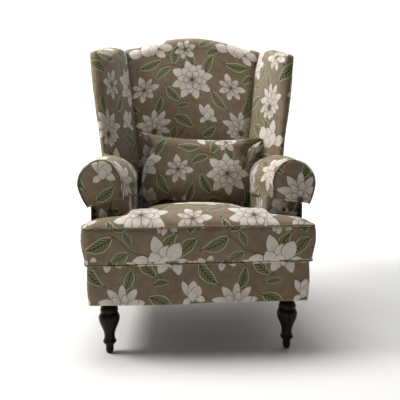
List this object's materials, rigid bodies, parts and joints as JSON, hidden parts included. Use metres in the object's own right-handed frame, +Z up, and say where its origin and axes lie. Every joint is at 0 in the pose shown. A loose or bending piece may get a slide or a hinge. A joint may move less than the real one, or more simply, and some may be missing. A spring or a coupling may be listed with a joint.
{
  "type": "upholstered wingback armchair",
  "caption": "Upholstered wingback armchair with rolled arms, capped arm fronts, a loose T-shaped seat cushion, a lumbar pillow and turned dark legs.",
  "frame": {"origin": "on the floor, in the chair's plane of symmetry, half way through its overall depth", "axes": "+Z up, the chair faces -Y, +X to the right as seen from in front of the chair"},
  "size_m": [0.77, 0.7458, 1.115],
  "materials": {
    "floral_fabric": "matte",
    "dark_leg_wood": "gloss",
    "frame_wood": "matte",
    "foam": "matte",
    "platform_cloth": "matte",
    "webbing": "matte",
    "nail_metal": "satin",
    "zinc_steel": "satin",
    "glide_plastic": "matte",
    "zip_tape": "matte",
    "zip_metal": "satin"
  },
  "bodies": {
    "chair": {"arm_front_panels": "floral_fabric", "arm_nails": "nail_metal", "back_pad": "foam", "back_webbing": "webbing", "base_front_cover": "floral_fabric", "corner_blocks": "frame_wood", "dust_cover": "platform_cloth", "frame_dowels": "frame_wood", "front_rail": "frame_wood", "inside_back_cover": "floral_fabric", "left_arm_cap": "floral_fabric", "left_arm_rail": "frame_wood", "left_arm_roll_cover": "floral_fabric", "left_arm_roll_pad": "foam", "left_arm_stump": "frame_wood", "left_back_post": "frame_wood", "left_front_leg": "dark_leg_wood", "left_inside_arm_cover": "floral_fabric", "left_inside_arm_pad": "foam", "left_outside_arm_panel": "floral_fabric", "left_rear_leg": "dark_leg_wood", "left_side_rail": "frame_wood", "left_wing_board": "frame_wood", "left_wing_cover": "floral_fabric", "left_wing_pad": "foam", "leg_bolts": "zinc_steel", "leg_glides": "glide_plastic", "leg_nuts": "zinc_steel", "lumbar_rail": "frame_wood", "outside_back_panel": "floral_fabric", "rear_rail": "frame_wood", "right_arm_cap": "floral_fabric", "right_arm_rail": "frame_wood", "right_arm_roll_cover": "floral_fabric", "right_arm_roll_pad": "foam", "right_arm_stump": "frame_wood", "right_back_post": "frame_wood", "right_front_leg": "dark_leg_wood", "right_inside_arm_cover": "floral_fabric", "right_inside_arm_pad": "foam", "right_outside_arm_panel": "floral_fabric", "right_rear_leg": "dark_leg_wood", "right_side_rail": "frame_wood", "right_wing_board": "frame_wood", "right_wing_cover": "floral_fabric", "right_wing_pad": "foam", "seat_deck_cover": "platform_cloth", "seat_deck_pad": "foam", "seat_springs": "zinc_steel", "spring_clips": "zinc_steel", "top_rail": "frame_wood"},
    "seat_cushion": {"seat_cushion_foam": "foam", "seat_cushion_boxing": "floral_fabric", "seat_cushion_top_panel": "floral_fabric", "seat_cushion_bottom_panel": "floral_fabric", "seat_cushion_zip": "zip_tape"},
    "seat_zip_slider": {"seat_zip_slider": "zip_metal"},
    "lumbar_pillow": {"pillow_filling": "foam", "pillow_front_cover": "floral_fabric", "pillow_rear_cover": "floral_fabric"}
  },
  "joints": [
    {"name": "seat_cushion_slide", "type": "slide", "parent": "chair", "child": "seat_cushion", "axis": [0, -1, 0], "range_m": [0, 0.6]},
    {"name": "lumbar_pillow_lift", "type": "slide", "parent": "chair", "child": "lumbar_pillow", "axis": [0, -0.342, 0.9397], "range_m": [0, 0.65]},
    {"name": "seat_zip_slide", "type": "slide", "parent": "seat_cushion", "child": "seat_zip_slider", "axis": [1, 0, 0], "range_m": [0, 0.31]}
  ]
}
